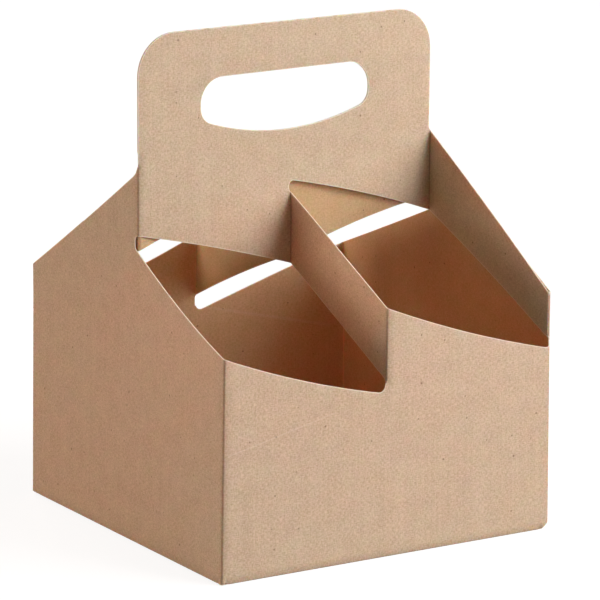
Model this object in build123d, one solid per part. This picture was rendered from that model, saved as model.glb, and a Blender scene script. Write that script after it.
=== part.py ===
from build123d import *
import os
from math import asin, atan2, cos, degrees, radians, sin

# Four-cup carrier folded and glued from one die-cut sheet of kraft paperboard.
#
# Millimetres, +Z up. The origin is the middle of the base, on the surface the carrier stands on.
# +X runs to the right along the front wall and +Y to the back.
# The carrier looks the same after half a turn about Z, so one half of the sheet is drawn
# (left wall, front wall, front handle ply, front divider, left strip) and then repeated.

# Sheet
board = 0.55  # thickness of the paperboard
fold_radius = 0.95  # outside radius of a fold

# Plan, between the outer faces
front_width = 178.0  # front and back walls
short_side = 85.0  # side wall from a corner to the fold of the handle ply that it carries
long_side = 95.0  # the rest of the side wall, from that fold to the other corner
divider_shift = -2.6  # front fold of the divider, from the middle of the front wall

# Heights along the lower slot, between the walls and the handle ply with its divider
slot_start_height = 138.0  # top edge of the side wall at the handle fold
side_drop = 33.0  # fall of that edge to the corner
front_drop = 26.5  # fall of the front wall's edge from the corner to the divider
lower_slot_end = 7.2  # open height of the slot at its two ends
lower_slot_middle = 17.0  # open height half way, across the corner

# Heights along the upper slot, between the divider with its wall and the handle with its strip
divider_height_back = 34.5  # divider where it leaves the handle
divider_height_front = 32.5  # divider where it meets the front wall
upper_drop = 29.5  # fall of the front wall's edge from the divider to the corner
upper_slot_end = 5.6
upper_slot_middle = 19.5

# Side strip and handle
strip_height_back = 37.0  # strip where it leaves the handle
strip_height_front = 20.7  # strip at the corner where it folds back
handle_rise = 63.2  # handle above the top of the strip
handle_corner = 18.5
neck_rise = 3.0  # side wall swept up into the free edge of the handle
neck_run = 6.0  # length of that sweep along the wall
slot_corner = 2.3  # rounding of the slots' ends
slot_overrun = 2.6  # lower slot past the handle fold, into the side wall

# Bow of the cut edges from straight lines
wall_dip = 2.2  # wall edges hang below the line between their ends
tongue_arch = 1.4  # lower edges of the handle, divider and strip rise above it
slope_dip = 1.2  # sloping shoulder of the side wall and its strip

# Hand hole, punched through both handle plies
hole_shift = -1.5  # from the middle of the handle
hole_width = 96.0
hole_height = 28.4  # at its middle
hole_depth = 23.0  # from the top of the handle
hole_bow = 8.8  # lower edge hangs this far below its ends
hole_top_corner = 12.0
hole_low_corner = 8.0

# Base
flap_clearance = 0.8  # base flaps to the side walls, and between the two interlocking flaps
lock_step = 14.0  # interlocking edges, from the middle of the base
lock_slant = 20.0  # half length of the slanted run between them
glue_flap_depth = 58.0  # side flaps inside the base
glue_flap_margin = 3.0  # side flaps to the front and back walls
glue_flap_taper = 15.0  # degrees, free end of a side flap
corner_relief = 2.6  # bevel at the foot of the two corners that fold flat

# Plan worked out from the sheet: the handle ply is narrower than the front wall by the
# difference of the two side lengths, so it turns a little and draws the side walls in.
half_width = front_width / 2
half_depth = (short_side + long_side) / 2
fold_shift = (long_side - short_side) / 2
handle_width = front_width - (long_side - short_side)
strip_inset = 2 * fold_radius - board
half_span = handle_width / 2 + fold_radius
handle_edge = handle_width - half_span
handle_turn = degrees(asin(fold_shift / half_span))
draw_in = half_width - half_span * cos(radians(handle_turn))
corner_y = half_depth - fold_radius

# Heights worked out along the slots
side_low = slot_start_height
corner_low = side_low - side_drop
middle_low = corner_low - front_drop
handle_low = side_low + lower_slot_end
divider_low_back = corner_low + lower_slot_middle
divider_low_front = middle_low + lower_slot_end
divider_top_back = divider_low_back + divider_height_back
divider_top_front = divider_low_front + divider_height_front
far_corner_low = divider_top_front - upper_drop
handle_mid_low = divider_top_back + upper_slot_end
strip_low_back = divider_top_front + upper_slot_middle
strip_low_front = far_corner_low + upper_slot_end
shoulder = strip_low_back + strip_height_back
far_corner_top = strip_low_front + strip_height_front
handle_top = shoulder + handle_rise
neck_top = shoulder + neck_rise


def bowed(start, end, dip):
    """Cut edge that hangs `dip` below the straight line between its ends."""
    middle = ((start[0] + end[0]) / 2, (start[1] + end[1]) / 2 - dip)
    return ThreePointArc(start, middle, end)


def face_of(*edges):
    return make_face(Curve() + list(edges))


def rounded(face, spot, radius):
    """The face with its corner nearest to the spot rounded off."""
    corner = face.vertices().sort_by_distance((spot[0], spot[1], 0))[0]
    return fillet(corner, radius)


def fold(corner, outer_a, outer_b, inner_a, inner_b, plane, length):
    """Bent board between two panels whose outer faces meet at the corner."""
    towards = (corner[0] - outer_a[0], corner[1] - outer_a[1])
    section = face_of(
        TangentArc(outer_a, outer_b, tangent=towards),
        Line(outer_b, inner_b),
        TangentArc(inner_a, inner_b, tangent=towards),
        Line(inner_a, outer_a),
    )
    return extrude(plane * section, length)


def side_section(y, inward, inset):
    """Upright section of a side panel: flat at the base, drawn in by the handle higher up."""
    base_x = -half_width + inset
    top_x = base_x + inward
    third = side_low / 3
    lift = (base_x, 0), (base_x, third), (top_x, 2 * third), (top_x, side_low)
    outer = Bezier(*lift)
    inner = Bezier(*[(x + board, z) for x, z in lift])
    section = face_of(
        outer,
        Line((top_x, side_low), (top_x, handle_top)),
        Line((top_x, handle_top), (top_x + board, handle_top)),
        Line((top_x + board, handle_top), (top_x + board, side_low)),
        inner,
        Line((base_x + board, 0), (base_x, 0)),
    )
    return Plane.XZ.offset(-y) * section


def side_sheet(inset):
    """Uncut side panel from the front corner to the back corner, creased at the handle fold."""
    sections = [
        side_section(-corner_y, 0, inset),
        side_section(-fold_shift, draw_in, inset),
        side_section(corner_y, 0, inset),
    ]
    return loft(sections, ruled=True)


def cut_side(outline, inset):
    """Side panel cut to an outline drawn in Y and Z."""
    prism = extrude(Plane.YZ.offset(-front_width) * outline, front_width)
    return side_sheet(inset) & prism


def handle_point(along, behind):
    """Plan point on the handle: along it from its middle, and behind the glued faces."""
    turn = radians(handle_turn)
    return (along * cos(turn) - behind * sin(turn), along * sin(turn) + behind * cos(turn))


def plan_plane(height):
    return Plane.XY.offset(height)


# Handle fold on the left wall: where the wall's outer face meets the front face of the ply
wall_lean = draw_in / (corner_y + fold_shift)
ply_front = handle_point(-half_span, -board)
fold_y = ply_front[1]
fold_x = -half_width + draw_in - wall_lean * (fold_y + fold_shift)
wall_start_y = fold_y + fold_radius
wall_start_x = fold_x - wall_lean * fold_radius
ply_start = -half_span + fold_radius


def left_wall():
    slot_y = wall_start_y + slot_overrun
    neck_y = wall_start_y + neck_run
    neck_z = shoulder - neck_run * (shoulder - far_corner_top) / (corner_y - wall_start_y)
    outline = face_of(
        Line((-corner_y, 0), (corner_y - corner_relief, 0)),
        Line((corner_y - corner_relief, 0), (corner_y, corner_relief)),
        Line((corner_y, corner_relief), (corner_y, far_corner_top)),
        bowed((corner_y, far_corner_top), (neck_y, neck_z), slope_dip),
        bowed((neck_y, neck_z), (wall_start_y, neck_top), neck_rise / 4),
        Line((wall_start_y, neck_top), (wall_start_y, handle_low)),
        Line((wall_start_y, handle_low), (slot_y, handle_low)),
        Line((slot_y, handle_low), (slot_y, side_low)),
        bowed((slot_y, side_low), (-corner_y, corner_low), wall_dip),
        Line((-corner_y, corner_low), (-corner_y, 0)),
    )
    for height in (handle_low, side_low):
        outline = rounded(outline, (slot_y, height), slot_corner)
    return cut_side(outline, 0)


def left_strip():
    """Strip inside the left wall, from the back ply to the corner where it folds back."""
    end_y = handle_point(-handle_edge, board / 2)[1]
    outline = face_of(
        bowed((end_y, strip_low_back), (corner_y, strip_low_front), -tongue_arch),
        Line((corner_y, strip_low_front), (corner_y, far_corner_top)),
        bowed((corner_y, far_corner_top), (end_y, shoulder), slope_dip),
        Line((end_y, shoulder), (end_y, strip_low_back)),
    )
    return cut_side(outline, strip_inset)


def strip_fold():
    """Half round fold between the left wall and its strip."""
    middle_x = -half_width + fold_radius
    inner_radius = fold_radius - board
    wall_out, wall_in = middle_x - fold_radius, middle_x - inner_radius
    strip_out, strip_in = middle_x + fold_radius, middle_x + inner_radius
    section = face_of(
        ThreePointArc((wall_out, corner_y), (middle_x, half_depth), (strip_out, corner_y)),
        Line((strip_out, corner_y), (strip_in, corner_y)),
        ThreePointArc((strip_in, corner_y), (middle_x, half_depth - board), (wall_in, corner_y)),
        Line((wall_in, corner_y), (wall_out, corner_y)),
    )
    return extrude(plan_plane(strip_low_front) * section, strip_height_front)


def wall_corner(side, foot, top):
    """Upright corner fold at the front (side -1) or back (side 1) end of the left wall."""
    return fold(
        (-half_width, side * half_depth),
        (-half_width, side * corner_y),
        (-half_width + fold_radius, side * half_depth),
        (-half_width + board, side * corner_y),
        (-half_width + fold_radius, side * (half_depth - board)),
        plan_plane(foot),
        top - foot,
    )


def handle_fold():
    """Upright fold between the left wall and the front handle ply."""
    return fold(
        (fold_x, fold_y),
        (wall_start_x, wall_start_y),
        handle_point(ply_start, -board),
        (wall_start_x + board, wall_start_y),
        handle_point(ply_start, 0),
        plan_plane(handle_low),
        neck_top - handle_low,
    )


# Divider: its left face runs from the front wall's outer face to the ply's front face
divider_front = Vector(divider_shift, -half_depth)
divider_back = Vector(*handle_point(0, -board / 2))
divider_way = (divider_back - divider_front).normalized()
divider_length = (divider_back - divider_front).length
divider_lean = atan2(divider_way.X, divider_way.Y)
divider_setback = fold_radius * (1 + sin(divider_lean)) / cos(divider_lean)


def front_wall():
    left, right = -half_width + fold_radius, half_width - fold_radius
    turn_x = divider_shift + divider_setback
    foot = fold_radius
    outline = face_of(
        Line((left, foot), (right - corner_relief, foot)),
        Line((right - corner_relief, foot), (right, foot + corner_relief)),
        Line((right, foot + corner_relief), (right, far_corner_low)),
        bowed((right, far_corner_low), (turn_x, divider_top_front), wall_dip),
        Line((turn_x, divider_top_front), (turn_x, divider_low_front)),
        Line((turn_x, divider_low_front), (divider_shift, divider_low_front)),
        Line((divider_shift, divider_low_front), (divider_shift, middle_low)),
        bowed((divider_shift, middle_low), (left, corner_low), wall_dip),
        Line((left, corner_low), (left, foot)),
    )
    outline = rounded(outline, (divider_shift, middle_low), slot_corner)
    return extrude(Plane.XZ.offset(half_depth - board) * outline, board)


def divider():
    plane = Plane(
        origin=(divider_front.X, divider_front.Y, 0),
        x_dir=(divider_way.X, divider_way.Y, 0),
        z_dir=(divider_way.Y, -divider_way.X, 0),
    )
    start = divider_setback
    outline = face_of(
        bowed((start, divider_low_front), (divider_length, divider_low_back), -tongue_arch),
        Line((divider_length, divider_low_back), (divider_length, divider_top_back)),
        Line((divider_length, divider_top_back), (start, divider_top_front)),
        Line((start, divider_top_front), (start, divider_low_front)),
    )
    return extrude(plane * outline, board)


def divider_fold():
    """Upright fold between the divider and the right half of the front wall."""
    way = (divider_way.X, divider_way.Y)
    across = (divider_way.Y, -divider_way.X)
    outer_a = (divider_front.X + divider_setback * way[0], divider_front.Y + divider_setback * way[1])
    turn_x = divider_shift + divider_setback
    return fold(
        (divider_front.X, divider_front.Y),
        outer_a,
        (turn_x, -half_depth),
        (outer_a[0] + board * across[0], outer_a[1] + board * across[1]),
        (turn_x, -half_depth + board),
        plan_plane(divider_low_front),
        divider_height_front,
    )


def handle_ply(left, right):
    """Front handle ply, from its fold on the left wall to its fold into the right strip.

    Its grip, above the shoulder, runs from the left to the right edge given.
    """
    divider_face = board  # the ply ends on the far face of the divider that folds out of it
    strip_end = handle_edge + board / 2
    body = face_of(
        bowed((ply_start, handle_low), (divider_face, divider_low_back), -tongue_arch),
        Line((divider_face, divider_low_back), (divider_face, handle_mid_low)),
        bowed((divider_face, handle_mid_low), (strip_end, strip_low_back), -tongue_arch),
        Line((strip_end, strip_low_back), (strip_end, shoulder)),
        Line((strip_end, shoulder), (ply_start, neck_top)),
        Line((ply_start, neck_top), (ply_start, handle_low)),
    )
    body = rounded(body, (divider_face, handle_mid_low), slot_corner)
    grip = face_of(
        Polyline((left, shoulder), (right, shoulder), (right, handle_top), (left, handle_top), close=True)
    )
    for end in (left, right):
        grip = rounded(grip, (end, handle_top), handle_corner)
    return Rot(0, 0, handle_turn) * extrude(Plane.XZ * (body + grip), board)


def hand_hole():
    """Cutter for the hand hole: straight top, bowed lower edge, rounded ends."""
    left, right = hole_shift - hole_width / 2, hole_shift + hole_width / 2
    top = handle_top - hole_depth
    side = hole_height - hole_bow
    outline = face_of(
        Line((left, top), (right, top)),
        Line((right, top), (right, top - side)),
        bowed((right, top - side), (left, top - side), hole_bow),
        Line((left, top - side), (left, top)),
    )
    for end in (left, right):
        outline = rounded(outline, (end, top), min(hole_top_corner, 0.6 * side))
        outline = rounded(outline, (end, top - side), min(hole_low_corner, 0.4 * side))
    return Rot(0, 0, handle_turn) * extrude(Plane.XZ * outline, 2 * board, both=True)


def front_base_flap():
    """Base flap of the front wall: it meets the back one along a stepped edge."""
    half = half_width - board - flap_clearance
    hinge = -half_depth + fold_radius
    gap = flap_clearance / 2
    outline = face_of(
        Polyline(
            (-half, hinge),
            (half, hinge),
            (half, -lock_step - gap),
            (lock_slant - gap, -lock_step - gap),
            (-lock_slant - gap, lock_step - gap),
            (-half, lock_step - gap),
            close=True,
        )
    )
    bend = fold(
        (-half_depth, 0),
        (-half_depth, fold_radius),
        (hinge, 0),
        (-half_depth + board, fold_radius),
        (hinge, board),
        Plane.YZ.offset(-half),
        2 * half,
    )
    return [extrude(outline, board), bend]


def left_base_flap():
    """Side flap glued on top of the front and back flaps."""
    from_x = -half_width + board / 2
    to_x = -half_width + glue_flap_depth
    end_y = half_depth - glue_flap_margin
    taper = (to_x - from_x) * sin(radians(glue_flap_taper))
    outline = face_of(
        Polyline(
            (from_x, -end_y),
            (to_x, -end_y + taper),
            (to_x, end_y - (to_x - from_x)),
            (from_x, end_y),
            close=True,
        )
    )
    return extrude(plan_plane(board) * outline, board)


half_sheet = [
    left_wall(),
    left_strip(),
    strip_fold(),
    wall_corner(-1, fold_radius, corner_low),
    wall_corner(1, fold_radius + corner_relief, far_corner_low),
    handle_fold(),
    front_wall(),
    divider(),
    divider_fold(),
    *front_base_flap(),
    left_base_flap(),
]
half_turn = Rot(0, 0, 180)
other_half = [half_turn * piece for piece in half_sheet]
front_ply = handle_ply(ply_start, handle_edge)
back_ply = half_turn * handle_ply(-handle_edge, -ply_start)
carrier = front_ply.fuse(back_ply, *half_sheet, *other_half) - hand_hole()

os.makedirs("parts", exist_ok=True)
export_step(carrier, "parts/carrier.step")
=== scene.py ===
# %% [markdown]
# # A folded cup carrier in kraft board
# The real carrier starts as one flat sheet of brown kraft paperboard. A cutting die punches its
# outline, two long slots in each half and the hand hole, and it presses the fold lines. Then the
# sheet is folded, and its two handle plies are glued back to back. This lesson makes the mesh in the
# same order: cut the flat blank, fold it, give it its thickness, and then make the board's surface.

import bpy
import numpy as np
from mathutils import Matrix, Vector
from mathutils.geometry import delaunay_2d_cdt


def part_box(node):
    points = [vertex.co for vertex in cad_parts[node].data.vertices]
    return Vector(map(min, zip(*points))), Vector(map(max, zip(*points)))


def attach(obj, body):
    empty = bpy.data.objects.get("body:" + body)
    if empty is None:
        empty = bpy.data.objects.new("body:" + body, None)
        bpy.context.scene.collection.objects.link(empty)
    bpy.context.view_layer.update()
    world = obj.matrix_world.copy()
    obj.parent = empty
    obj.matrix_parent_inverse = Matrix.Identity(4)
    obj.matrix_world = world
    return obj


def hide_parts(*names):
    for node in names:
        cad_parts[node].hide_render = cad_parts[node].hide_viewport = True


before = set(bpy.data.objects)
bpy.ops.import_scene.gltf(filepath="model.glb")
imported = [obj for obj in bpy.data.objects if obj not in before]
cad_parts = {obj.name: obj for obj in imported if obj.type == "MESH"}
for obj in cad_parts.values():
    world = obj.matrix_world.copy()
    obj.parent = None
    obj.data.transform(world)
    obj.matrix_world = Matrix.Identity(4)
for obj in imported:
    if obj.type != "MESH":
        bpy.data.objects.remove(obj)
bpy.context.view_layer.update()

MM = 0.001  # sizes below are in millimetres, and Blender works in metres
low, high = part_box("carrier")
width, depth, height = ((high - low) / MM).to_tuple()
print(f"frame: {width:.1f} x {depth:.1f} x {height:.1f} mm")

# %% [markdown]
# ## The flat blank
# On the blank, a point has a station along the sheet and a height above the base. One half of the
# sheet runs from the back left corner, round the left and front walls, to the front right corner.
# The other half is the same again, turned half a turn. The mesh could be modelled in its folded shape
# at once, but on the flat sheet every fold is one station, and every cut is a plain line.

# %% Board and fold stations
board = 0.55
fold_radius = 0.675  # at the middle of the board
ply_gap = 0.05  # glue line between the two handle plies

handle_fold = 95.0  # left wall to the front handle ply
left_corner = depth  # left wall to the front wall
divider_shift = -2.6  # front fold of the divider, from the middle of the front wall
front_fold = left_corner + width / 2 + divider_shift  # divider to the right half of the front wall
right_corner = left_corner + width
handle_length = 168.0
strip_fold = handle_fold + handle_length  # handle ply to the strip inside the right wall
ply_middle = 84.69  # handle fold to the middle of the handle
divider_root = handle_fold + ply_middle + board / 2  # handle ply to the divider
print(f"half a blank: {right_corner:.1f} mm long, folds at {handle_fold:.1f}, {left_corner:.1f},"
      f" {divider_root:.1f}, {front_fold:.1f}, {strip_fold:.1f} mm")

# %% [markdown]
# Two slots run down along each half. They split the sheet into levels, and each level folds at other
# stations: that is how one flat sheet gets walls, a handle, dividers and strips. Each side of a slot
# is a few points, station and height, and the bows between them come later.

# %% Heights of the cut edges
far_low, far_high = 88.7, 94.3  # at the right corner: the wall's top, and the strip's foot
far_top = {"open": 115.0, "closed": 113.5}  # strip's top, at the front right and back left corners
shoulder = 174.7  # foot of the free grip
handle_top = height
lower_slot = {
    "low": [(handle_fold, 138.0), (left_corner, 105.0), (front_fold, 78.5)],
    "high": [(handle_fold, 145.2), (divider_root, 122.0), (front_fold, 85.7)],
}
upper_slot = {
    "low": [(divider_root, 156.5), (front_fold, 118.2), (right_corner, far_low)],
    "high": [(divider_root, 162.1), (strip_fold, 137.7), (right_corner, far_high)],
}
for name, slot in (("lower", lower_slot), ("upper", upper_slot)):
    print(f"{name} slot falls {slot['low'][0][1] - slot['low'][-1][1]:.1f} mm")

# %% [markdown]
# ## Cutting lines
# A die's cutting rule is bent steel, so its lines are straight runs and gentle bows with small round
# corners. A curve object could draw them, but plain lists of points are easier to cut and to join.
# One function samples a bowed edge, and another strings several of them together.

# %% Cut edges
edge_step = 1.6  # between two points of an edge


def edge(start, end, dip=0.0):
    """Points on a cut edge that hangs `dip` below the straight line between its ends."""
    start, end = np.array(start, float), np.array(end, float)
    count = max(2, int(np.ceil(np.linalg.norm(end - start) / edge_step)) + 1)
    share = np.linspace(0, 1, count)[:, None]
    points = start + share * (end - start)
    points[:, 1] -= 4 * dip * (share * (1 - share))[:, 0]
    return points


def run(points, dips):
    """A cut edge through several points, with its own bow between each two."""
    parts = [edge(a, b, dip) for a, b, dip in zip(points, points[1:], dips)]
    return np.concatenate([parts[0]] + [part[1:] for part in parts[1:]])


print(f"the divider's top edge has {len(edge(*upper_slot['low'][:2]))} points")

# %% [markdown]
# A closed line is edges joined end to start, with its corners rounded. Blender's bevel could round
# corners on a mesh, but here the round has to be part of the cutting line, before any face is made.
# Each corner is cut back on both sides, and a Bezier arc joins the two ends.

# %% Trim a line
def unit(vector):
    """The vector at length one."""
    return vector / np.linalg.norm(vector)


def trimmed(points, at_start, at_end):
    """The line without the first and last lengths given."""
    distance = np.concatenate([[0], np.cumsum(np.linalg.norm(np.diff(points, axis=0), axis=1))])
    first, last = at_start, distance[-1] - at_end
    inside = (distance > first + 1e-6) & (distance < last - 1e-6)
    stations = np.concatenate([[first], distance[inside], [last]])
    return np.stack([np.interp(stations, distance, points[:, axis]) for axis in (0, 1)], 1)


print("an edge 10 mm long, 3 mm cut off its end, stops at", trimmed(edge((0, 0), (10, 0)), 0, 3)[-1])

# %% Closed lines with round corners
arc_step = 0.7  # between two points of a round corner


def closed_line(edges, radii):
    """Edges joined end to start; each radius rounds the corner after its edge."""
    turns, cuts = [], []
    for this, after, radius in zip(edges, edges[1:] + edges[:1], radii):
        cosine = np.dot(unit(this[-1] - this[-2]), unit(after[1] - after[0]))
        turns.append(np.arccos(np.clip(cosine, -1, 1)))
        cuts.append(radius * np.tan(turns[-1] / 2))
    lines = [trimmed(e, cuts[k - 1], cuts[k]) for k, e in enumerate(edges)]
    points = []
    for k, line in enumerate(lines):
        points.append(line if radii[k] else line[:-1])
        if not radii[k]:
            continue
        after = lines[(k + 1) % len(lines)]
        reach = 4 / 3 * np.tan(turns[k] / 4) * radii[k]
        a, d = line[-1], after[0]
        b = a + reach * unit(line[-1] - line[-2])
        c = d - reach * unit(after[1] - after[0])
        count = max(4, int(radii[k] * turns[k] / arc_step) + 1)
        t = np.linspace(0, 1, count + 1)[1:-1, None]
        points.append((1 - t) ** 3 * a + 3 * t * (1 - t) ** 2 * b + 3 * t**2 * (1 - t) * c + t**3 * d)
    return np.concatenate(points)


tile = [edge(a, b) for a, b in (((0, 0), (9, 0)), ((9, 0), (9, 9)), ((9, 9), (0, 9)), ((0, 9), (0, 0)))]
print(f"a 9 mm square with round corners has {len(closed_line(tile, [3, 3, 3, 3]))} points")

# %% [markdown]
# ## Hand hole and lower slot
# The hand hole has a straight top and a lower edge that sags like a smile, so that fingers sit in its
# middle. The lower slot runs from the side wall, round the front left corner, to the divider's front
# fold. Both are closed lines inside the outline. Cutting them with a boolean later would leave ragged
# triangles, so they are holes in the blank from the start.

# %% Hand hole
hole_width, hole_height, hole_depth, hole_bow = 96.0, 28.4, 23.0, 8.8  # depth is below the grip's top
hole_top_radius, hole_low_radius = 12.0, 8.0


def hand_hole_line(shift):
    """The hand hole, shifted along the ply from the handle's middle."""
    middle = handle_fold + ply_middle + shift
    left, right = middle - hole_width / 2, middle + hole_width / 2
    top = handle_top - hole_depth
    side = top - hole_height + hole_bow
    edges = [
        edge((left, side), (right, side), hole_bow),
        edge((right, side), (right, top)),
        edge((right, top), (left, top)),
        edge((left, top), (left, side)),
    ]
    return closed_line(edges, [hole_low_radius, hole_top_radius, hole_top_radius, hole_low_radius])


print(f"hand hole: {hole_width:.0f} x {hole_height:.1f} mm, {len(hand_hole_line(0.0))} points")

# %% Lower slot
slot_radius = 2.3
slot_foot_radius = 3.0  # lower corner at the divider's front fold
slot_overrun = {"handle": 2.4, "corner": 0.3}  # how far the slots run past these folds


def lower_slot_line(wall_lifts, wall_dips, lifts, arches, overrun):
    """The lower slot, with lifts and bows of its two sides, and its reach past the front fold."""
    (_, a0), (corner, a1), (_, a2) = lower_slot["low"]
    (_, b0), (root, b1), (_, b2) = lower_slot["high"]
    start, end = handle_fold - slot_overrun["handle"], front_fold + overrun
    low_run = [(start, a0 + wall_lifts[0]), (corner, a1), (end, a2 + wall_lifts[1])]
    high_run = [(end, b2 + lifts[1]), (root, b1 + lifts[0]), (start, b0)]
    edges = [
        run(low_run, wall_dips),
        edge(low_run[-1], high_run[0]),
        run(high_run, [-arches[1], -arches[0]]),
        edge(high_run[-1], low_run[0]),
    ]
    return closed_line(edges, [slot_foot_radius, slot_radius, slot_radius, slot_radius])


print(f"slots: ends of {slot_radius:.1f} mm radius, {slot_overrun['handle']:.1f} mm past the handle fold")

# %% [markdown]
# ## Outer line
# The outer line goes once round the half blank. Along the foot it takes in the base flaps. The front
# and back flaps interlock along a stepped edge, and the side flaps are glued on top of them. These
# flaps are hidden when the carrier stands, but a mesh that anyone can turn over needs them.

# %% Foot of the outer line
flap_inset = 3.1  # front and back flaps, from the corners
flap_corner = 2.0
lock_step, lock_slant, lock_gap = 14.0, 20.0, 0.4  # stepped edge between the two interlocking flaps
glue_flap, glue_margin, glue_taper = 57.7, 3.0, 15.0  # side flap's depth, margin and slant
foot = 0.25  # wall's lower edge between the base flaps


def straight_edges(corners):
    """Straight edges between corners, each given as a point and its radius."""
    points = [point for point, radius in corners]
    return [(edge(a, b), radius) for a, b, (_, radius) in zip(points, points[1:], corners[1:])]


def foot_edges(reliefs):
    """Left to right along the foot, with a relief at each end."""
    glue_start, glue_end = glue_margin, left_corner - glue_margin
    front_start, front_end = left_corner + flap_inset, right_corner - flap_inset
    lock_start, lock_end = (left_corner + width / 2 + way * lock_slant for way in (-1, 1))
    deep, shallow = (depth / 2 - board + way * lock_step - lock_gap for way in (1, -1))
    return straight_edges([
        ((0, reliefs[0] + foot), 0),
        ((glue_start, foot), 0),
        ((glue_start + glue_flap, -glue_flap), flap_corner),
        ((glue_end - glue_taper, -glue_flap), flap_corner),
        ((glue_end, foot), 0),
        ((front_start, foot), 0),
        ((front_start, -deep), flap_corner),
        ((lock_start, -deep), flap_corner),
        ((lock_end, -shallow), flap_corner),
        ((front_end, -shallow), flap_corner),
        ((front_end, foot), 0),
        ((right_corner, reliefs[1] + foot), 0),
    ])


print(f"foot: {len(foot_edges((0, 0)))} straight edges")

# %% [markdown]
# The upper slot is open to the right end of the half, because it runs on round the corner into the
# next half for a fraction of a millimetre. Its round end is therefore cut in two: most of it belongs
# to this half, and the last bit to the left end of the other one.

# %% Upper slot in the outer line
wall_dip, handle_arch, strip_arch = 1.9, 1.6, 1.2  # bows of the slot's sides
end_points = 7  # on each part of its round end


def slot_end(middle, first, last):
    """Part of the slot's round end, between two turns about its middle height, with the corner at zero."""
    turns = np.linspace(first, last, end_points)
    reach = slot_overrun["corner"] - slot_radius
    return np.stack([reach + slot_radius * np.cos(turns), middle + slot_radius * np.sin(turns)], 1)


quarter = np.pi / 2
crossing = np.arccos(1 - slot_overrun["corner"] / slot_radius)  # turn at which the end crosses the corner
low_middle, high_middle = far_low + slot_radius, far_high - slot_radius
low_near, low_far = slot_end(low_middle, -quarter, -crossing), slot_end(low_middle, -crossing, 0)
high_far, high_near = slot_end(high_middle, 0, crossing), slot_end(high_middle, crossing, quarter)
right_end = np.array([right_corner, 0])


def upper_slot_edges(overrun):
    """In along the slot's low side, round its root and out along its high side."""
    root = divider_root - overrun
    lows, highs = upper_slot["low"], upper_slot["high"]
    slot_corner = right_corner + slot_overrun["corner"] - slot_radius
    return [
        (low_near[::-1] + right_end, 0),
        (run([(slot_corner, far_low), lows[1], (root, lows[0][1])], [wall_dip, 0.0]), slot_radius),
        (edge((root, lows[0][1]), (root, highs[0][1])), slot_radius),
        (run([(root, highs[0][1]), highs[1], (slot_corner, far_high)], [-handle_arch, -strip_arch]), 0),
        (high_near[::-1] + right_end, 0),
    ]


print(f"upper slot's end reaches {slot_overrun['corner']:.1f} mm round the corner")

# %% [markdown]
# Along the top run the strip, the grip with its round corners, and the slope of the side wall. The two
# halves differ a little. The hand hole is punched through both plies after gluing, so it has another
# place on each, and the folded sheet has pulled the soft edges of its slots out of true. Each half
# therefore gets its own bows and lifts.

# %% Outer line
handle_radius, neck_radius, strip_neck = 19.8, 9.5, 4.0  # grip's corners, and its foot on either side
slope_dip = 0.5  # side wall's sloping edge


def top_edges(grip, slant, tops, strip):
    """Right to left along the top: strip, grip and slope."""
    left, right = (handle_fold + ply_middle + side for side in grip)
    rise, dip = strip
    return [
        (edge(high_near[0] + right_end, (right_corner, tops[1])), 0),
        (edge((right_corner, tops[1]), (right, shoulder + rise), dip), strip_neck),
        (edge((right, shoulder + rise), (right, handle_top - slant)), handle_radius),
        (edge((right, handle_top - slant), (left, handle_top + slant)), handle_radius),
        (edge((left, handle_top + slant), (left, shoulder)), neck_radius),
        (edge((left, shoulder), (0, tops[0]), slope_dip), 0),
    ]


def outer_line(reliefs, overrun, grip, slant, tops, strip):
    """The half blank's outline, from the left end's foot and back to it."""
    left_foot, right_foot = (0, reliefs[0] + foot), (right_corner, reliefs[1] + foot)
    parts = foot_edges(reliefs)
    parts += [(edge(right_foot, low_near[-1] + right_end), 0)]
    parts += upper_slot_edges(overrun)
    parts += top_edges(grip, slant, tops, strip)
    parts += [
        (edge((0, tops[0]), high_far[-1]), 0),
        (high_far[::-1], 0),
        (edge(high_far[0], low_far[-1]), 0),
        (low_far[::-1], 0),
        (edge(low_far[0], left_foot), 0),
    ]
    return closed_line([e for e, radius in parts], [radius for e, radius in parts])


print(f"grip: corners of {handle_radius:.1f} mm radius, foot of {neck_radius:.1f} and {strip_neck:.1f} mm")

# %% The two halves
handle_edge = 82.4  # free edge of the grip on the strip's side, from its middle
fold_edge = 84.65  # free edge on the side of the handle fold
top_slant = 0.5  # grip's top, up at one end and down at the other
hole_shift = 2.1
bevel, square = 2.6, 0.4  # foot of the front right corner, and of the back left one
end_tops = far_top["closed"], far_top["open"]
halves = {
    "front": [
        outer_line((square, bevel), overrun=0.9, grip=(-fold_edge, handle_edge), slant=top_slant,
                   tops=end_tops, strip=(2.6, -0.9)),
        lower_slot_line(wall_lifts=(0.4, -0.2), wall_dips=(2.4, 2.1), lifts=(0.0, -1.1),
                        arches=(1.2, 0.2), overrun=-0.5),
        hand_hole_line(-hole_shift),
    ],
    "back": [
        outer_line((bevel, square), overrun=-0.4, grip=(-handle_edge, fold_edge), slant=-top_slant,
                   tops=end_tops[::-1], strip=(0.0, 2.0)),
        lower_slot_line(wall_lifts=(1.0, 0.5), wall_dips=(0.2, -0.4), lifts=(2.2, 1.7),
                        arches=(2.4, 1.2), overrun=0.6),
        hand_hole_line(hole_shift),
    ],
}
for name, lines in halves.items():
    print(f"{name} half: " + ", ".join(f"{len(line)} points" for line in lines))

# %% [markdown]
# ## Filling the blank with triangles
# Blender can fill an outline with one big face, but a bent sheet needs points inside too. Delaunay
# triangulation joins any cloud of points into well shaped triangles and keeps the cutting lines as
# edges. Two tests sort the cloud: which points lie on the board, and which are too close to others.

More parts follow.
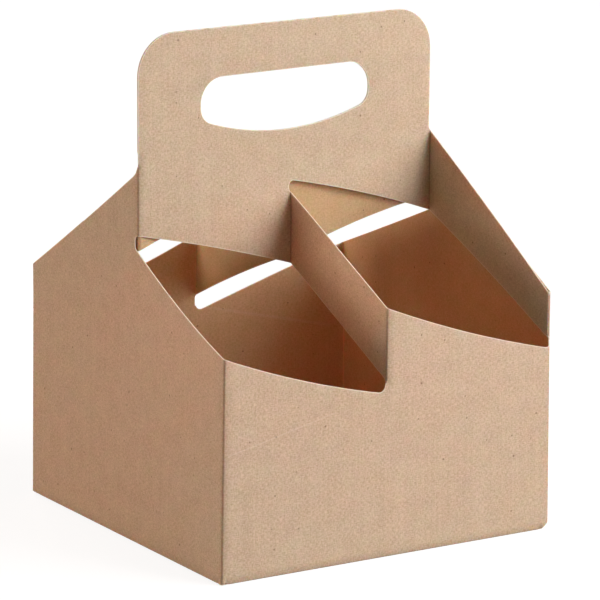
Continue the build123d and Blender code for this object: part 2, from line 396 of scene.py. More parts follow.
# %% Tests for points
def inside(points, lines):
    """Which points lie inside the outline and outside its holes."""
    x, y = points[:, 0], points[:, 1]
    found = np.zeros(len(points), bool)
    for line in lines:
        for (x0, y0), (x1, y1) in zip(line, np.roll(line, -1, 0)):
            if y0 != y1:
                crosses = (y0 > y) != (y1 > y)
                found ^= crosses & (x < x0 + (y - y0) * (x1 - x0) / (y1 - y0))
    return found


def clear_of(points, others, room):
    """Which points are at least `room` from all the others."""
    nearest = np.full(len(points), np.inf)
    batch = 200  # keeps the table of gaps small
    for start in range(0, len(others), batch):
        gap = points[:, None, :] - others[None, start:start + batch, :]
        nearest = np.minimum(nearest, (gap**2).sum(2).min(1))
    return nearest > room**2


hole_middle = np.array([[handle_fold + ply_middle, handle_top - hole_depth - hole_height / 2]])
print("middle of the hand hole is on the board:", bool(inside(hole_middle, halves["front"])[0]))

# %% [markdown]
# A fold is a narrow bend, hardly wider than the board is thick. An even lattice would miss it, so each
# fold gets five close rows of points, and the cutting lines get points where they cross those rows.

# %% Folds on the blank
half_bend = fold_radius * np.pi / 4  # half the length of a square fold, along the sheet
past = 1.0  # how far a fold line runs past a cut
neck_rise = 8.0  # how far the handle fold runs up beside the grip's round foot
base_layers = {"left": 1.5 * board + ply_gap, "front": 0.5 * board}  # height of the base flaps' middles
folds = [  # station, lowest and highest point, half length of the bend
    (0.0, 0.0, far_low + past, half_bend),
    (0.0, far_low + past, far_top["open"], 2 * half_bend),
    (handle_fold, lower_slot["high"][0][1], shoulder + neck_rise, half_bend),
    (left_corner, 0.0, lower_slot["low"][1][1], half_bend),
    (divider_root, lower_slot["high"][1][1], upper_slot["low"][0][1], half_bend),
    (front_fold, lower_slot["high"][2][1] - past, upper_slot["low"][1][1], half_bend),
    (strip_fold, upper_slot["high"][1][1], shoulder + past, half_bend),
    (right_corner, 0.0, far_low, half_bend),
    (right_corner, far_high, far_top["open"], 2 * half_bend),
]
base_folds = {  # first and last station of each base flap
    "left": (glue_margin, left_corner - glue_margin),
    "front": (left_corner + flap_inset, right_corner - flap_inset),
}
print(f"{len(folds)} upright and {len(base_folds)} base folds, {2 * half_bend:.2f} mm long where square")

# %% Rows beside the folds
bend_rows = np.linspace(-1, 1, 5)
row_step = 3.0
seam_room = 0.01  # rows stay off the two ends of the half


def with_fold_points(line):
    """The cutting line with extra points where it crosses the rows of a fold."""
    points = []
    for a, b in zip(line, np.roll(line, -1, 0)):
        shares = [0.0]
        for station, lowest, highest, half in folds:
            for u in station + half * bend_rows:
                near = lowest - row_step < (a[1] + b[1]) / 2 < highest + row_step
                if near and (a[0] - u) * (b[0] - u) < -1e-9:
                    shares.append((u - a[0]) / (b[0] - a[0]))
        points += [a + share * (b - a) for share in sorted(shares)]
    return np.array(points)


def fold_rows():
    """Rows of points along every fold, upright ones and those of the base flaps."""
    rows = []
    for station, lowest, highest, half in folds:
        heights = np.arange(lowest, highest, row_step)
        for share in bend_rows:
            rows.append(np.stack([np.full(len(heights), station + share * half), heights], 1))
    for first, last in base_folds.values():
        stations = np.arange(first + past, last - past, row_step)
        for level in base_layers["front"] + half_bend * bend_rows:
            rows.append(np.stack([stations, np.full(len(stations), level)], 1))
    rows = np.concatenate(rows)
    return rows[(rows[:, 0] > seam_room) & (rows[:, 0] < right_corner - seam_room)]


print(f"{len(fold_rows())} points in rows")

# %% [markdown]
# Beside every cut, the die has crushed the board in a band half a millimetre wide. A second line of
# points marks the inner side of that band, so that the crush won't spread across a whole triangle.

# %% Points for the triangles
lattice_step = 4.0
crushed_band = 0.5


def beside(line, room):
    """Points on both sides of a closed line."""
    ahead = np.roll(line, -1, 0) - np.roll(line, 1, 0)
    across = np.stack([-ahead[:, 1], ahead[:, 0]], 1) / np.linalg.norm(ahead, axis=1)[:, None]
    return np.concatenate([line + room * across, line - room * across])


def lattice(first, last):
    """Even points between two corners, each row shifted by half a step."""
    tall = lattice_step * np.sqrt(3) / 2
    return np.array([
        (u + lattice_step / 2 * (k % 2), v)
        for k, v in enumerate(np.arange(first[1], last[1], tall))
        for u in np.arange(first[0], last[0], lattice_step)
    ])


print(f"{len(lattice((0, 0), (100, 100)))} lattice points on 100 x 100 mm")

# %% Triangles of a half blank
band_room = 0.8 * crushed_band  # a point that comes closer than its room is left out
row_room = {"rim": 0.35, "band": 0.12}
lattice_room = {"rim": 0.45 * lattice_step, "rows": 0.4 * lattice_step}


def triangulated(lines):
    """Points and triangles that fill the outline, holes left open."""
    lines = [with_fold_points(line) for line in lines]
    rim = np.concatenate(lines)
    band = np.concatenate([beside(line, crushed_band) for line in lines])
    band = band[inside(band, lines) & clear_of(band, rim, band_room)]
    rows = fold_rows()
    rows = rows[inside(rows, lines) & clear_of(rows, rim, row_room["rim"])]
    rows = rows[clear_of(rows, band, row_room["band"])]
    grid = lattice(rim.min(0), rim.max(0))
    grid = grid[inside(grid, lines)]
    grid = grid[clear_of(grid, rim, lattice_room["rim"]) & clear_of(grid, rows, lattice_room["rows"])]
    cloud = np.concatenate([rim, band, rows, grid])
    edges, start = [], 0
    for line in lines:
        count = len(line)
        edges += [(start + k, start + (k + 1) % count) for k in range(count)]
        start += count
    points, _, faces, *_ = delaunay_2d_cdt([Vector(p) for p in cloud], edges, [], 0, 1e-6)
    points = np.array([p.to_tuple() for p in points])
    faces = np.array(faces)
    return points, faces[inside(points[faces].mean(1), lines)]


blanks = {name: triangulated(lines) for name, lines in halves.items()}
for name, (points, triangles) in blanks.items():
    print(f"{name} half: {len(points)} points, {len(triangles)} triangles")

# %% [markdown]
# ## Folding
# Seen from above, each level of the sheet is a line with corners, and folding means to lay the
# stations along that line. A bone rig could bend the sheet too, but a fold is no smooth bend: with the
# lines written out, every panel stays flat and every fold has its radius. The handle is shorter than
# the front wall, so it turns a little, and it draws the side walls in at the top.

# %% Lines in plan
turn = np.arcsin((2 * handle_fold - depth) / 2 / (handle_length / 2 + fold_radius + board / 2))
wall_x, wall_y = width / 2 - board / 2, depth / 2 - board / 2
hem = 2 * fold_radius  # wall to strip, middle to middle
far = 60.0  # straight run past the ends of a line


def on_handle(along, behind=-(board + ply_gap) / 2):
    """Plan point on the front ply, measured along the handle from its middle."""
    return (along * np.cos(turn) - behind * np.sin(turn), along * np.sin(turn) + behind * np.cos(turn))


back_left, front_left, front_right = (-wall_x, wall_y), (-wall_x, -wall_y), (wall_x, -wall_y)
handle_start = on_handle(-ply_middle)
handle_end = on_handle(handle_length - ply_middle)
divider_start = on_handle(board / 2)
divider_end = (divider_shift + board / 2, -wall_y)
draw_in = wall_x + handle_start[0]
plan = {  # corners in plan, and their stations
    "ring": (
        [(-wall_x + far, wall_y), back_left, front_left, front_right, (wall_x, far)],
        [-far, 0, left_corner, right_corner, right_corner + wall_y + far],
    ),
    "hem": (
        [(-wall_x + hem, -far), (-wall_x + hem, wall_y), back_left, front_left],
        [-wall_y - far, -half_bend, half_bend, left_corner],
    ),
    "handle": (
        [back_left, handle_start, handle_end, (wall_x - hem, -wall_y), front_right, (wall_x, far)],
        [0, handle_fold, strip_fold,
         right_corner - half_bend, right_corner + half_bend, right_corner + far],
    ),
    "grip": (
        [on_handle(-2 * ply_middle), on_handle(2 * ply_middle)],
        [handle_fold - ply_middle, handle_fold + 3 * ply_middle],
    ),
    "divider": (
        [back_left, handle_start, divider_start, divider_end, front_right, (wall_x, far)],
        [0, handle_fold, divider_root, front_fold, right_corner, right_corner + wall_y + far],
    ),
}
print(f"handle turned {np.degrees(turn):.2f} degrees, walls drawn in {draw_in:.2f} mm")

# %% [markdown]
# One function follows such a line and gives the place of any station on it. Between corners it keeps
# to the straight, and at a corner it goes round an arc, as the board does.

# %% Follow a line
def follow(line, u):
    """Places at the stations u along a line of corners, each rounded to the fold radius."""
    corners, stations = np.array(line[0], float), line[1]
    ways = [unit(step) for step in np.diff(corners, axis=0)]
    cross = [a[0] * b[1] - a[1] * b[0] for a, b in zip(ways, ways[1:])]
    dots = [np.dot(a, b) for a, b in zip(ways, ways[1:])]
    turns = [0.0] + [np.arctan2(c, d) for c, d in zip(cross, dots)] + [0.0]
    place = np.zeros((len(u), 2))
    for k, way in enumerate(ways):
        bends = np.abs(turns[k:k + 2])
        begin = stations[k] + fold_radius * bends[0] / 2
        end = stations[k + 1] - fold_radius * bends[1] / 2
        start = corners[k] + way * fold_radius * np.tan(bends[0] / 2)
        stop = corners[k + 1] - way * fold_radius * np.tan(bends[1] / 2)
        if end - begin < 1e-6:
            continue
        here = (u >= begin - 1e-9) & (u <= end + 1e-9)
        place[here] = start + ((u[here] - begin) / (end - begin))[:, None] * (stop - start)
    for k in range(1, len(corners) - 1):
        half = fold_radius * abs(turns[k]) / 2
        here = np.abs(u - stations[k]) <= half + 1e-9
        way = ways[k - 1]
        across = np.sign(turns[k]) * np.array([-way[1], way[0]])
        centre = corners[k] - way * fold_radius * np.tan(abs(turns[k]) / 2) + across * fold_radius
        angle = ((u[here] - stations[k] + half) / fold_radius)[:, None]
        place[here] = centre - across * fold_radius * np.cos(angle) + way * fold_radius * np.sin(angle)
    return place


print("front left corner of the walls, mm:", follow(plan["ring"], np.array([left_corner]))[0].round(2))

# %% [markdown]
# ## Slack in the sheet
# Real board isn't stiff. The handle's pull fades out towards the base and the corners, the walls spread
# a little at the foot, and below the glued grip the two plies part by a few millimetres, which gives
# the upper slot its soft shadow. A cloth simulation could find such shapes, but each of these is one
# smooth number, easy to read and to change.

# %% Pull of the handle
draw_height = lower_slot["low"][0][1]
pull_softness = 45.0  # how wide the pull's crease is at the base


def smooth(share):
    """Eases a share from 0 to 1, level at both ends."""
    return share**2 * (3 - 2 * share)


def wall_pull(u, z):
    """Share of the handle's pull that reaches a point of the left wall."""
    span = np.where(u < handle_fold, handle_fold, left_corner - handle_fold)
    soft = pull_softness * np.clip(1 - z / draw_height, 0, 1) + 1e-6
    away = np.hypot(u - handle_fold, soft) - soft
    lift = np.clip(z / draw_height, 0, 1)
    return np.clip(smooth(lift) * (1 - away / (np.hypot(span, soft) - soft)), 0, 1)


half_way = wall_pull(np.array([handle_fold]), np.array([draw_height / 2]))[0]
print(f"half way up, the wall is drawn in {draw_in * half_way:.2f} mm")

# %% Parting of the plies
ply_bow, bow_height = 2.0, 30.0


def ply_parting(level, u, z):
    """How far a handle ply, with its divider, stands out from the middle of the handle."""
    share = np.clip((np.minimum(u, strip_fold) - handle_fold) / handle_length, 0, 1)
    bow = 4 * share * (1 - share)
    along = np.clip((u - divider_root) / (front_fold - divider_root), 0, 1)
    bow = np.where((level == "divider") & (u > divider_root), 1 - along, bow)
    ease = smooth(np.clip((shoulder - z) / bow_height, 0, 1))
    return ply_bow * bow * ease * np.isin(level, ["handle", "divider"])


print(f"plies part by up to {2 * ply_bow:.1f} mm, over {bow_height:.0f} mm below the grip")

# %% [markdown]
# ## Base flaps
# The base flaps fold like the walls, but about level lines: their section goes down the wall to the
# floor and then inwards. The side flaps lie on top of the front and back ones, so they climb over
# their edges. Because it is a line with corners too, the same function can follow it.

# %% Section of a base flap
climb = np.radians(15)
flap_ease = 0.8  # length along the wall over which a flap's fold fades out
inwards = {"left": (1, 0), "front": (0, 1)}


def flap_profile(level):
    """Section of a base flap: down the wall, round a fold that touches the floor, and to its level."""
    lowest = base_layers["front"]
    bend = np.pi / 2 + (climb if level > lowest else 0)
    cut_off = fold_radius * np.tan(bend / 2)
    corner = lowest + fold_radius - cut_off
    fold = fold_radius * bend / 2 - corner - cut_off
    if level == lowest:
        return [(0, far), (0, corner), (depth, corner)], [-far, fold, fold + depth]
    away = (level - corner) / np.tan(climb)
    slope = np.hypot(away, level - corner)
    stations = [-far, fold, fold + slope, fold + slope + depth]
    return [(0, far), (0, corner), (away, level), (depth, level)], stations


print("middles of the base flaps, mm:", {name: round(level, 3) for name, level in base_layers.items()})

# %% [markdown]
# ## The whole fold
# Now a blank point can find its place. Its height against the two slots gives its level, the level's
# line gives its place in plan, and then come the slack and the base flaps.

# %% Levels of the sheet
def levels_of(u, z):
    """Which line in plan each blank point folds along."""
    lower, upper = (
        (np.interp(u, *zip(*slot["low"])) + np.interp(u, *zip(*slot["high"]))) / 2
        for slot in (lower_slot, upper_slot))
    level = np.full(len(u), "ring", dtype=object)
    level[(u < handle_fold / 2) & (z > (far_low + far_high) / 2)] = "hem"
    above = (z > lower) & (u > handle_fold - slot_overrun["handle"])
    level[above] = "divider"
    level[above & (z > upper)] = "handle"
    level[(u > handle_fold) & (z > shoulder + neck_radius)] = "grip"
    return level


front_levels = levels_of(*blanks["front"][0].T).tolist()
print("front half, points:", {name: front_levels.count(name) for name in plan})

# %% Fold the blank
foot_spread, spread_height = 1.2, 100.0  # the walls spread this much at the foot, and none at that height


def folded(u, z):
    """The folded place of each blank point, on the middle of the board."""
    level = levels_of(u, z)
    place = np.zeros((len(u), 3))
    place[:, 2] = z
    for name, line in plan.items():
        here = level == name
        place[here, :2] = follow(line, u[here])
    place[:, 1] -= ply_parting(level, u, z)
    wall = ((level == "ring") | (level == "hem")) & (u < left_corner)
    place[wall, 0] += draw_in * wall_pull(u, z)[wall]
    for name, (first, last) in base_folds.items():
        here = (u > first - flap_ease) & (u < last + flap_ease) & (z < fold_radius + base_layers["front"])
        bent = follow(flap_profile(base_layers[name]), -z[here])
        share = np.clip(1 - np.maximum(first - u[here], u[here] - last) / flap_ease, 0, 1)
        place[here, :2] += (share * bent[:, 0])[:, None] * np.array(inwards[name])
        place[here, 2] += share * (bent[:, 1] - z[here])
    place[:, 0] *= 1 + foot_spread / wall_x * np.clip(1 - place[:, 2] / spread_height, 0, 1)
    return place


grip_middle = folded(np.array([handle_fold + ply_middle]), np.array([handle_top]))[0]
print("middle of the grip's top, mm:", grip_middle.round(2).tolist())

# %% [markdown]
# ## Joining the halves
# The second half is the first turned half a turn, and the two meet at two upright corners. Merging by
# distance would also weld the glued plies, which lie only a hair apart. So points on the two ends of
# the halves are paired by their heights, and each pair becomes one point.

# %% Join the two halves
seam_match = 1e-3
(front, front_faces), (back, back_faces) = blanks.values()
place = np.concatenate([folded(*front.T), folded(*back.T) * (-1, -1, 1)])
faces = np.concatenate([front_faces, back_faces + len(front)])
flat = np.concatenate([front, back + (right_corner, 0)])[faces]  # each triangle's corners on the blank
same = np.arange(len(place))
for end, start, end_first, start_first in ((front, back, 0, len(front)), (back, front, len(front), 0)):
    ends = np.flatnonzero(np.abs(end[:, 0] - right_corner) < seam_match)
    starts = np.flatnonzero(np.abs(start[:, 0]) < seam_match)
    ends, starts = ends[np.argsort(end[ends, 1])], starts[np.argsort(start[starts, 1])]
    same[start_first + starts] = end_first + ends
used, faces = np.unique(same[faces], return_inverse=True)
place, faces = place[used], faces.reshape(-1, 3)
print(f"folded sheet: {len(place)} points, {len(faces)} triangles, {len(same) - len(used)} pairs joined")

# %% [markdown]
# ## Marks of the die
# The die leaves two marks that the eye looks for. The board is thinner along every cut, and every fold
# line is a shallow groove outside and a low bead inside. Bump could fake both, but they catch the light
# at the outline too, so they are real: these functions find the rim and the fold lines.

# %% Rim and fold lines
fold_width = 0.4  # half width of a pressed fold line


def fold_line_at(u, z):
    """1 on the middle of a pressed fold line, falling to 0 at its sides."""
    away = []
    for station, lowest, highest, _ in folds:
        away.append(np.where((z > lowest - past) & (z < highest + past), u - station, far))
    for first, last in base_folds.values():
        away.append(np.where((u > first) & (u < last), z - base_layers["front"], far))
    return np.exp(-((np.abs(away).min(0) / fold_width) ** 2))


def rim_edges(triangles):
    """Edges with a triangle on one side only."""
    edges = np.concatenate([triangles[:, [0, 1]], triangles[:, [1, 2]], triangles[:, [2, 0]]])
    known = {tuple(e) for e in edges}
    return [e for e in known if (e[1], e[0]) not in known]


fold_line = np.concatenate([fold_line_at(*front.T), fold_line_at(*back.T)])[used]
rim = rim_edges(faces)
at_cut = np.zeros(len(place))
at_cut[np.unique(rim)] = 1
print(f"{len(rim)} edges on the rim, {int((fold_line > 0.5).sum())} points on fold lines")

# %% [markdown]
# ## Thickness
# A Solidify modifier could thicken the sheet, but then its faces would be hard to tell apart. Here each
# point of the middle surface moves half a board along its normal, both ways. That gives three kinds of
# face: the smooth outer liner, the rougher back inside, and the pale cut edges between them.

# %% Thicken the sheet
cut_board = 0.42  # thickness at a cut
fold_groove, fold_bead = 0.06, 0.12


def sheet_normals(points, triangles):
    """A normal for each point, from the triangles round it."""
    a, b, c = (points[triangles[:, k]] for k in range(3))
    across = np.cross(b - a, c - a)
    normals = np.zeros_like(points)
    for k in range(3):
        np.add.at(normals, triangles[:, k], across)
    return normals / np.linalg.norm(normals, axis=1)[:, None]


normals = sheet_normals(place, faces)
half_board = (board - at_cut * (board - cut_board)) / 2
pressed = fold_line * (1 - at_cut)
outer_points = place + normals * (half_board - fold_groove * pressed)[:, None]
inner_points = place - normals * (half_board + fold_bead * pressed)[:, None]
count = len(place)
outer_faces = faces.tolist()
inner_faces = (count + faces[:, ::-1]).tolist()
cut_faces = [[int(j), int(i), int(count + i), int(count + j)] for i, j in rim]
mesh = bpy.data.meshes.new("carrier_sheet")
points = np.concatenate([outer_points, inner_points]) * MM
mesh.from_pydata(points.tolist(), [], outer_faces + inner_faces + cut_faces)
print(f"board: {len(outer_faces)} outer, {len(inner_faces)} inner and {len(cut_faces)} cut faces")

# %% [markdown]
# The materials will need to know three things: the kind of each face, where each corner lay on the flat
# blank, and how close a point is to a cut or a fold. A UV map could hold the blank, but a plain
# attribute keeps it in metres, so that every pattern can be sized in real millimetres.

# %% Attributes for the materials
kinds = [0] * len(outer_faces) + [1] * len(inner_faces) + [2] * len(cut_faces)
mesh.polygons.foreach_set("material_index", kinds)
on_blank = dict(zip(faces.ravel().tolist(), flat.reshape(-1, 2).tolist()))
cut_corners = np.array([[on_blank[k % count] for k in face] for face in cut_faces])
corners = np.concatenate([flat.reshape(-1, 2), flat[:, ::-1].reshape(-1, 2), cut_corners.reshape(-1, 2)])
corners = np.concatenate([corners, np.zeros((len(corners), 1))], 1) * MM
attribute = mesh.attributes.new("blank", "FLOAT_VECTOR", "CORNER")
attribute.data.foreach_set("vector", corners.astype(np.float32).ravel())
# cut and fold_line also tell the materials where to paint a highlight along the cuts and light or shade
# along the folds
for name, values in (("cut", at_cut), ("fold_line", fold_line)):
    attribute = mesh.attributes.new(name, "FLOAT", "POINT")
    attribute.data.foreach_set("value", np.tile(values, 2).astype(np.float32))
print("attributes:", [name for name in ("blank", "cut", "fold_line") if name in mesh.attributes])

# %% [markdown]
# The sheet stands for the carrier's solid in the frame: it rides on the one body and takes the kraft
# slot. Faces that meet at more than 35 degrees keep a sharp edge, so the cut edges stay crisp while
# the folds look round.

# %% The sheet in the scene
sharp_angle = np.radians(35)
sheet = bpy.data.objects.new("carrier_sheet", mesh)
bpy.context.scene.collection.objects.link(sheet)
sheet.data.validate()
sheet.data.shade_smooth()
sheet.data.set_sharp_from_angle(angle=sharp_angle)
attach(sheet, "root")
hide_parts("carrier")
print(f"sheet: {len(sheet.data.vertices)} points, {len(sheet.data.polygons)} faces")

# %% [markdown]
# ## Tools for materials
# Colours are written as the sRGB values that a colour picker shows, and one function turns them to the
# linear numbers that the shader needs. Another adds a node with its settings and links, which keeps a
# node tree readable as text.

# %% Colour and node helpers
def colour(code):
    """Linear colour, with alpha, of an sRGB hex code."""
    parts = [int(code[k:k + 2], 16) / 255 for k in (1, 3, 5)]
    return tuple(p / 12.92 if p <= 0.04045 else ((p + 0.055) / 1.055) ** 2.4 for p in parts) + (1.0,)


def add(tree, kind, inputs=(), **settings):
    """A new node with its settings; an input is a value, or a socket to link."""
    node = tree.nodes.new(kind)
    for name, value in settings.items():
        setattr(node, name, value)
    for key, value in dict(inputs).items():
        if isinstance(value, bpy.types.NodeSocket):
            tree.links.new(value, node.inputs[key])
        else:
            node.inputs[key].default_value = value
    return node


def new_material(name):
    """A material with an empty node tree."""
    material = bpy.data.materials.new(name)
    material.use_nodes = True
    material.node_tree.nodes.clear()
    return material


print("sRGB #808080 is", round(colour("#808080")[0], 3), "in linear light")

# %% [markdown]
# ## Kraft board
# Kraft is unbleached wood pulp, pressed to a sheet while wet. Close up it is a felt of fibres with
# faint streaks along the way the machine ran, soft clouds where the pulp lay thicker, and a few dark
# shives, which are scraps of bark. A photo texture could show all this, but noise read from the blank
# has no seams: the grain runs on across every fold, as on the real sheet.

# %% Grain
grain = {  # width and height of one patch in mm, detail of its noise, and its share in the colour
    "fibres across": (1.6, 0.5, 1.0, 1.6),  # a real fibre is under 0.05 mm wide, which wouldn't show
    "fibres along": (0.5, 1.6, 1.0, 1.6),
    "streaks": (0.9, 60.0, 2.0, 0.5),
    "clouds": (9.0, 9.0, 2.0, 0.6),
}


def grain_of(tree, place):
    """Noise for each layer of the grain, read from the place on the blank."""
    layers = {}
    for name, (wide, tall, detail, _) in grain.items():
        scale = (1 / (wide * MM), 1 / (tall * MM), 1.0)
        scaled = add(tree, "ShaderNodeVectorMath", {0: place, 1: scale}, operation="MULTIPLY").outputs[0]
        noise = add(tree, "ShaderNodeTexNoise", {"Vector": scaled, "Scale": 1.0, "Detail": detail})
        layers[name] = noise.outputs[0]
    return layers


print("size of a patch, mm:", {name: values[:2] for name, values in grain.items()})

# %% [markdown]
# A shive is a single dark scrap. Noise would smear it, so a Voronoi pattern parts the blank into cells,
# and some of them get one dot each, of its own size.

# %% Shives
shive_spacing, shive_size = 13.0, 0.75  # larger than most real ones, or they wouldn't show
shive_gap, shive_dark = 0.55, 0.9  # share of the cells with no shive, and how dark the others are
shive_shade = "#6E4930"


def shives_on(tree, place):
    """How much of a shive lies at a place on the blank."""
    scale = (1 / (shive_spacing * MM),) * 3
    scaled = add(tree, "ShaderNodeVectorMath", {0: place, 1: scale}, operation="MULTIPLY").outputs[0]
    cells = add(tree, "ShaderNodeTexVoronoi", {"Vector": scaled, "Scale": 1.0}, voronoi_dimensions="2D")
    chance = add(tree, "ShaderNodeSeparateColor", {0: cells.outputs["Color"]}).outputs[0]
    reach = add(tree, "ShaderNodeMapRange", {
        "Value": chance, "From Min": shive_gap, "From Max": 1.0,
        "To Min": 0.001,  # not zero, or the next range would have no length
        "To Max": shive_size / shive_spacing}).outputs[0]
    return add(tree, "ShaderNodeMapRange", {
        "Value": cells.outputs["Distance"], "From Max": reach,
        "To Min": shive_dark, "To Max": 0.0}).outputs[0]


print(f"a shive in {1 - shive_gap:.0%} of the cells, up to {2 * shive_size:.1f} mm wide")

# %% [markdown]
# A carrier that was handled has a few long, faint marks: here a rub on the front and a crease inside.
# They could be painted on an image, but a straight mark is only a line on the blank with soft sides.

# %% Rubs and creases
def mark_on(tree, place, start, end, half_width, strength):
    """How much of a straight rub or crease lies at a place, from its ends on the blank."""
    length = np.linalg.norm(np.subtract(end, start)) * MM
    x, z = unit(np.subtract(end, start))
    origin = (start[0] * MM, start[1] * MM, 0)
    there = add(tree, "ShaderNodeVectorMath", {0: place, 1: origin}, operation="SUBTRACT").outputs[0]
    along, across = (
        add(tree, "ShaderNodeVectorMath", {0: there, 1: way}, operation="DOT_PRODUCT").outputs["Value"]
        for way in ((x, z, 0), (-z, x, 0)))
    within = add(tree, "ShaderNodeMath", {0: along, 1: length / 2, 2: length / 2}, operation="COMPARE")
    away = add(tree, "ShaderNodeMath", {0: across}, operation="ABSOLUTE")
    line = add(tree, "ShaderNodeMapRange", {
        "Value": away.outputs[0], "From Max": half_width * MM, "To Min": strength, "To Max": 0.0})
    both = {0: line.outputs[0], 1: within.outputs[0]}
    return add(tree, "ShaderNodeMath", both, operation="MULTIPLY").outputs[0]


front_rub = ((182.0, 60.0), (239.0, 72.7), 0.5, 0.2)  # ends on the blank, half width, strength
back_crease = ((right_corner + 261.6, 80.8), (right_corner + 188.0, 62.7), 1.2, 0.1)
for name, (start, end, *_) in (("rub", front_rub), ("crease", back_crease)):
    print(f"{name}: {np.linalg.norm(np.subtract(end, start)):.0f} mm long")

# %% [markdown]
# Board this thin lets some light through, reddest where it is in shade with light behind it, and that
# is why the inside of the carrier glows brown. Subsurface scattering does it. One recipe serves the
# three finishes of the sheet: patterns mix a pale and a deep shade, and then shives, rub marks, fold
# lines and cuts are laid over them one by one. The fold lines are painted light and shade: a painted
# shade on the outer liner, a painted highlight on the back.

# %% Kraft recipe
# cut_shade is the bare fibre of the cut edge; on the two faces it is also a painted highlight along each
# cut
cut_shade = "#F8EEDD"  # bare fibres, where the die has cut the board
# the fold colour is a painted shade on the outer liner and a painted highlight on the back
fold_paint_share = 0.6  # strength of the shade along a fold line
translucent_depth = 1.15  # how far red light travels in the board, mm
translucent_tint = (1.0, 0.17, 0.055)  # green and blue light get less far


def kraft(name, pale, deep, fold, relief, roughness, translucency, marks=()):
    """Kraft board in two shades, with painted light and shade at folds and cuts, and long faint marks."""
    material = new_material(name)
    tree = material.node_tree
    place = add(tree, "ShaderNodeAttribute", attribute_name="blank").outputs["Vector"]
    layers = grain_of(tree, place)
    paleness = 0.5 - sum(share for *_, share in grain.values()) / 2
    for layer, (*_, share) in grain.items():
        mixed = {0: layers[layer], 1: share, 2: paleness}
        paleness = add(tree, "ShaderNodeMath", mixed, operation="MULTIPLY_ADD").outputs[0]
    at_fold, at_cut = (
        add(tree, "ShaderNodeAttribute", attribute_name=mark).outputs["Fac"]
        for mark in ("fold_line", "cut"))
    pressed = add(tree, "ShaderNodeMath", {0: at_fold, 1: fold_paint_share}, operation="MULTIPLY").outputs[0]

    coats = [(pale, paleness), (shive_shade, shives_on(tree, place))]
    coats += [(cut_shade, mark_on(tree, place, *mark)) for mark in marks]
    # painted shade (outer liner) or painted highlight (back) along the fold lines, then a painted
    # highlight along each cut
    coats += [(fold, pressed), (cut_shade, at_cut)]
    base = colour(deep)
    for shade, share in coats:
        mixed = {"Factor": share, "A": base, "B": colour(shade)}
        base = add(tree, "ShaderNodeMix", mixed, data_type="RGBA").outputs["Result"]

    fibres = {0: layers["fibres across"], 1: layers["fibres along"]}
    felt = add(tree, "ShaderNodeMath", fibres, operation="ADD").outputs[0]
    bump = add(tree, "ShaderNodeBump", {"Height": felt, "Strength": 1.0, "Distance": relief * MM})
    shader = add(tree, "ShaderNodeBsdfPrincipled", {
        "Base Color": base, "Normal": bump.outputs[0], "Roughness": roughness,
        "IOR": 1.47, "Specular IOR Level": 0.3,  # cellulose, with a loose surface that shines little
        "Subsurface Weight": translucency, "Subsurface Scale": translucent_depth * MM,
        "Subsurface Radius": translucent_tint})
    add(tree, "ShaderNodeOutputMaterial", {"Surface": shader.outputs[0]})
    return material


print("red, green and blue light travel, mm:", [round(translucent_depth * c, 2) for c in translucent_tint])

# %% [markdown]
# ## The three finishes
# The outside is calendered: rollers have pressed it smooth. The back is left as the machine made it,
# so it is rougher and yellower. The cut edge is bare fibre. The sheet could have one material, but each
# of the three takes the light in its own way, and that is most of what tells the eye it is board.

# %% Outer liner
# Calendered kraft liner: pressed smooth, so the eye gets an even, pale and matt brown, with the
# pressed fibres as a fine mottle. Its fold lines are a painted shade: a dark line for the shadow in their
# groove.
outer_liner = kraft("kraft_liner_calendered", "#DEC6AD", "#C0A489", fold="#8A664A",
                    relief=0.02, roughness=0.78, translucency=0.6, marks=[front_rub])
print("outer liner:", len(outer_liner.node_tree.nodes), "nodes")

# %% Back of the board
# Uncoated back: not pressed, so the eye gets a rougher, yellower brown that lets more light through.
# Its fold lines are painted paler: partly crushed fibres, partly a painted highlight where the bead
# catches light.
inner_face = kraft("kraft_board_uncoated_back", "#D6B892", "#C0A178", fold="#E8C8A4",
                   relief=0.03, roughness=0.88, translucency=0.85, marks=[back_crease])
print("back of the board:", len(inner_face.node_tree.nodes), "nodes")

# %% Cut edge
# Cut edge: torn fibres that were never pressed, so the eye gets a thin line, nearly cream.
cut_edge = kraft("kraft_board_cut_edge", cut_shade, "#DCC6A8", fold="#DCC6A8",
                 relief=0.03, roughness=0.9, translucency=0.0)
for material in (outer_liner, inner_face, cut_edge):
    sheet.data.materials.append(material)
print("materials:", [material.name for material in sheet.data.materials])

# %% [markdown]
# ## Floor
# The carrier stands on a white paper backdrop. Lit paper would be grey in some places, so rays that
# show the floor itself see a steady white and only a part of the shading, which keeps the shadow. Rays
# that carry light see plain pale paper, so the bounce on the board stays true.

# %% Floor
floor_reach = 6.0  # from the middle, metres
floor_level = -0.2 * MM  # just under the base, because two faces in one plane would flicker
floor_mesh = bpy.data.meshes.new("floor")
ways = (-1, -1), (1, -1), (1, 1), (-1, 1)
floor_corners = [(x * floor_reach, y * floor_reach, floor_level) for x, y in ways]
floor_mesh.from_pydata(floor_corners, [], [(0, 1, 2, 3)])
floor = bpy.data.objects.new("floor", floor_mesh)
bpy.context.scene.collection.objects.link(floor)
print(f"floor: {2 * floor_reach:.0f} m wide, {-floor_level / MM:.1f} mm under the base")

# %% Backdrop paper
def seen_directly(tree):
    """1 for rays that show the background itself, 0 for rays that only carry light."""
    path = add(tree, "ShaderNodeLightPath")
    shown = path.outputs["Is Camera Ray"]
    for other in ("Is Glossy Ray", "Is Transmission Ray"):
        either = {0: shown, 1: path.outputs[other]}
        shown = add(tree, "ShaderNodeMath", either, operation="MAXIMUM").outputs[0]
    return shown


